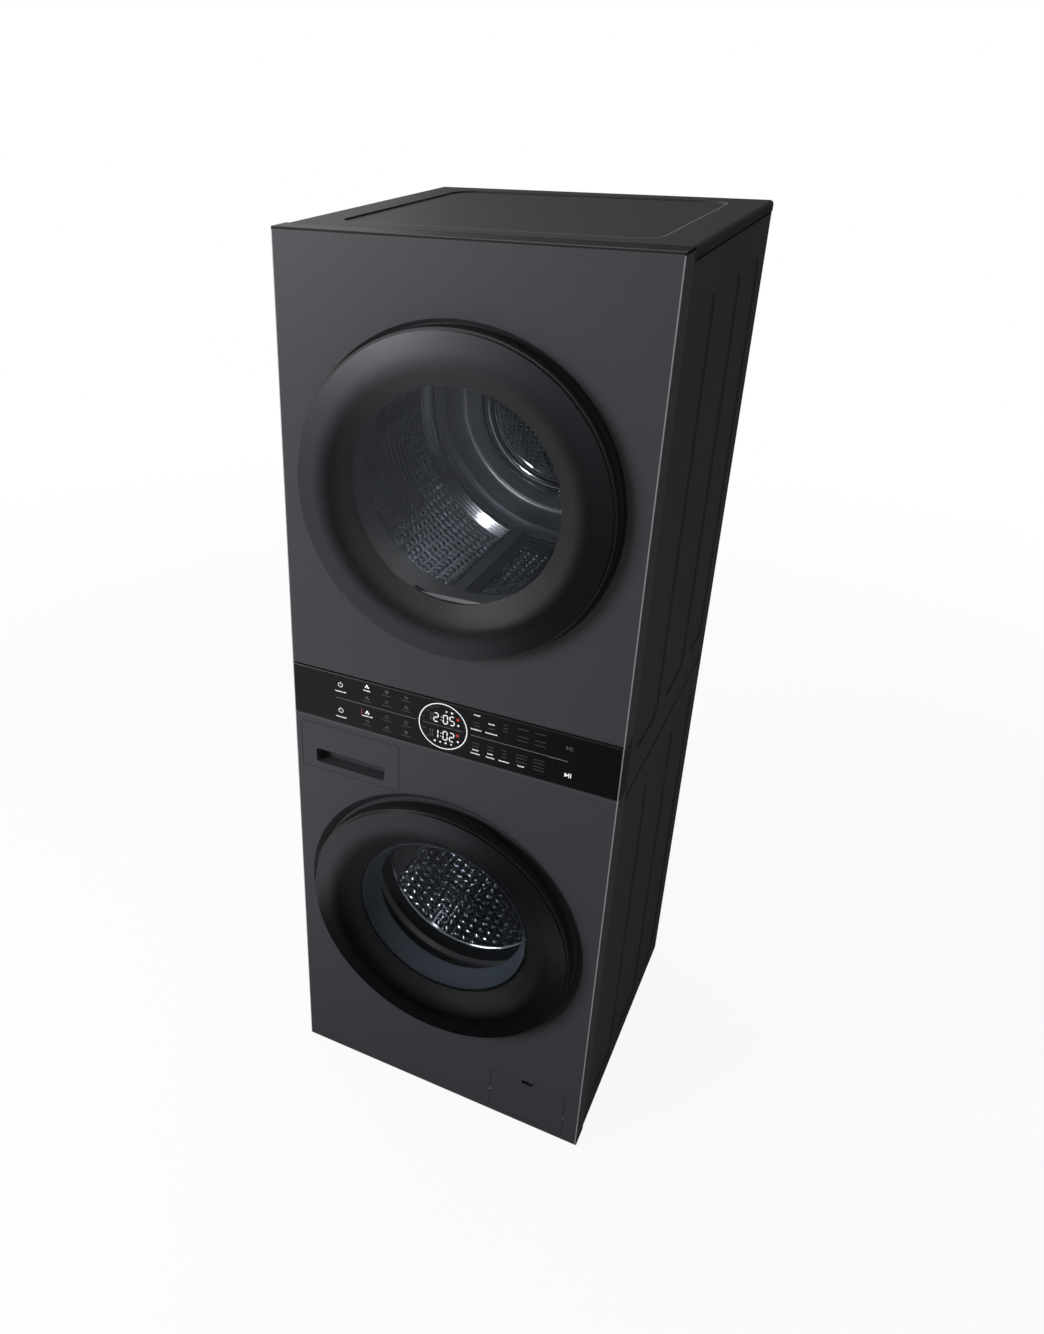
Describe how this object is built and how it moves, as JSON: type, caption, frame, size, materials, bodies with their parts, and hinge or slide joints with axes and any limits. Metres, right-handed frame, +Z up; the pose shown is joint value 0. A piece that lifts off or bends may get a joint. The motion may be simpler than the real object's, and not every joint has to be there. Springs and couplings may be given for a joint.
{
  "type": "washer dryer stack",
  "caption": "Laundry tower with a front-loading washer below and a dryer above, round convex glass doors, a touch panel between them, a detergent drawer and a drain filter flap.",
  "frame": {"origin": "on the floor, at the middle of the width and of the depth over all", "axes": "+X to the right of someone facing the doors, +Y from the doors to the back, +Z up"},
  "size_m": [0.596, 0.66, 1.655],
  "materials": {
    "front_paint": "satin metallic grey paint with a slight purple tone",
    "cabinet_paint": "matt black paint",
    "top_paint": "fine-grained dark grey paint",
    "fascia_glass": "flat black gloss",
    "door_glass": "tinted glass, convex",
    "bowl_glass": "clear pressed glass with a blue edge",
    "door_frame": "black gloss",
    "front_plastic": "moulded to match the front paint",
    "grey_plastic": "light grey moulding",
    "dark_plastic": "dark grey moulding",
    "drum_steel": "perforated stainless steel",
    "zinc_steel": "zinc-plated sheet and bar",
    "lifter_plastic": "dark grey moulding",
    "rubber": "grey elastomer",
    "ballast": "raw casting",
    "motor_metal": "die-cast and wound parts",
    "board": "circuit board"
  },
  "bodies": {
    "cabinet": {"washer_cabinet": "cabinet_paint", "dryer_cabinet": "cabinet_paint", "top_plate": "top_paint", "washer_front_panel": "front_paint", "dryer_front_panel": "front_paint", "control_fascia": "fascia_glass", "control_housing": "dark_plastic", "display_board": "board", "washer_rear_cover": "cabinet_paint", "dryer_rear_cover": "cabinet_paint", "base_plate": "zinc_steel", "washer_tub_front": "grey_plastic", "washer_tub_rear": "grey_plastic", "door_gasket": "rubber", "counterweights": "ballast", "suspension_springs": "zinc_steel", "suspension_dampers": "dark_plastic", "motor_stator": "motor_metal", "dispenser_housing": "grey_plastic", "inlet_valves": "dark_plastic", "drain_pump": "dark_plastic", "drain_hose": "rubber", "washer_door_lock": "dark_plastic", "door_hinges": "zinc_steel", "dryer_front_bulkhead": "dark_plastic", "dryer_rear_bulkhead": "zinc_steel", "heat_pump_base": "dark_plastic", "compressor": "motor_metal", "heat_exchangers": "grey_plastic", "blower_housing": "dark_plastic", "dryer_motor": "motor_metal", "drum_belt": "rubber", "power_inlet": "dark_plastic"},
    "washer_door": {"washer_door_ring": "door_frame", "washer_door_glass": "door_glass", "washer_door_bowl": "bowl_glass"},
    "washer_door_hook": {"washer_door_hook": "zinc_steel"},
    "dryer_door": {"dryer_door_ring": "door_frame", "dryer_door_glass": "door_glass", "dryer_door_window": "bowl_glass"},
    "detergent_drawer": {"drawer_front": "front_plastic", "drawer_tray": "grey_plastic"},
    "filter_flap": {"filter_flap": "front_plastic"},
    "drain_filter": {"drain_filter": "dark_plastic"},
    "washer_drum": {"washer_drum": "drum_steel", "washer_drum_lifters": "lifter_plastic", "drum_spider": "motor_metal", "motor_rotor": "zinc_steel"},
    "dryer_drum": {"dryer_drum": "drum_steel", "dryer_drum_lifters": "lifter_plastic"},
    "motor_shaft": {"motor_pulley": "zinc_steel", "blower_wheel": "dark_plastic"},
    "roller_left": {"roller_left": "dark_plastic"},
    "roller_right": {"roller_right": "dark_plastic"},
    "idler_pulley": {"idler_pulley": "dark_plastic"},
    "lint_filter": {"lint_filter": "grey_plastic"},
    "foot_front_left": {"foot_front_left": "rubber"},
    "foot_front_right": {"foot_front_right": "rubber"},
    "foot_rear_left": {"foot_rear_left": "rubber"},
    "foot_rear_right": {"foot_rear_right": "rubber"}
  },
  "joints": [
    {"name": "washer_door_hinge", "type": "hinge", "parent": "cabinet", "child": "washer_door", "pos_m": [-0.244, -0.303, 0.463], "axis": [0, 0, -1], "range_deg": [0, 110]},
    {"name": "washer_door_hook_pivot", "type": "hinge", "parent": "washer_door", "child": "washer_door_hook", "pos_m": [0.211, -0.2949, 0.463], "axis": [0, 0, 1], "range_deg": [-4, 4], "stiffness_Nm_per_rad": 0.3},
    {"name": "dryer_door_hinge", "type": "hinge", "parent": "cabinet", "child": "dryer_door", "pos_m": [-0.244, -0.303, 1.2885], "axis": [0, 0, -1], "range_deg": [0, 110]},
    {"name": "detergent_drawer_slide", "type": "slide", "parent": "cabinet", "child": "detergent_drawer", "axis": [0, -1, 0], "range_m": [0, 0.22]},
    {"name": "filter_flap_hinge", "type": "hinge", "parent": "cabinet", "child": "filter_flap", "pos_m": [0.1915, -0.286, 0.03], "axis": [1, 0, 0], "range_deg": [0, 90]},
    {"name": "drain_filter_turn", "type": "hinge", "parent": "cabinet", "child": "drain_filter", "pos_m": [0.19, -0.27, 0.076], "axis": [0, -1, 0], "range_deg": [0, 180]},
    {"name": "washer_drum_spin", "type": "hinge", "parent": "cabinet", "child": "washer_drum", "pos_m": [0, 0, 0.463], "axis": [0, 1, 0], "continuous": true},
    {"name": "dryer_drum_spin", "type": "hinge", "parent": "cabinet", "child": "dryer_drum", "pos_m": [0, 0, 1.2885], "axis": [0, 1, 0], "continuous": true},
    {"name": "motor_shaft_spin", "type": "hinge", "parent": "cabinet", "child": "motor_shaft", "pos_m": [-0.18, 0.06, 0.912], "axis": [0, 1, 0], "continuous": true},
    {"name": "idler_pulley_spin", "type": "hinge", "parent": "cabinet", "child": "idler_pulley", "pos_m": [-0.01982, 0.02, 0.95579], "axis": [0, 1, 0], "continuous": true},
    {"name": "roller_left_spin", "type": "hinge", "parent": "cabinet", "child": "roller_left", "pos_m": [-0.17225, 0.2, 1.04251], "axis": [0, 1, 0], "continuous": true},
    {"name": "roller_right_spin", "type": "hinge", "parent": "cabinet", "child": "roller_right", "pos_m": [0.17225, 0.2, 1.04251], "axis": [0, 1, 0], "continuous": true},
    {"name": "lint_filter_slide", "type": "slide", "parent": "cabinet", "child": "lint_filter", "axis": [0, 0, 1], "range_m": [0, 0.1]},
    {"name": "foot_front_left_level", "type": "slide", "parent": "cabinet", "child": "foot_front_left", "axis": [0, 0, -1], "range_m": [0, 0.02]},
    {"name": "foot_front_right_level", "type": "slide", "parent": "cabinet", "child": "foot_front_right", "axis": [0, 0, -1], "range_m": [0, 0.02]},
    {"name": "foot_rear_left_level", "type": "slide", "parent": "cabinet", "child": "foot_rear_left", "axis": [0, 0, -1], "range_m": [0, 0.02]},
    {"name": "foot_rear_right_level", "type": "slide", "parent": "cabinet", "child": "foot_rear_right", "axis": [0, 0, -1], "range_m": [0, 0.02]}
  ],
  "couplings": [
    {"joint": "motor_shaft_spin", "follows": "dryer_drum_spin", "ratio": 27},
    {"joint": "idler_pulley_spin", "follows": "dryer_drum_spin", "ratio": -15},
    {"joint": "roller_left_spin", "follows": "dryer_drum_spin", "ratio": -9},
    {"joint": "roller_right_spin", "follows": "dryer_drum_spin", "ratio": -9}
  ]
}
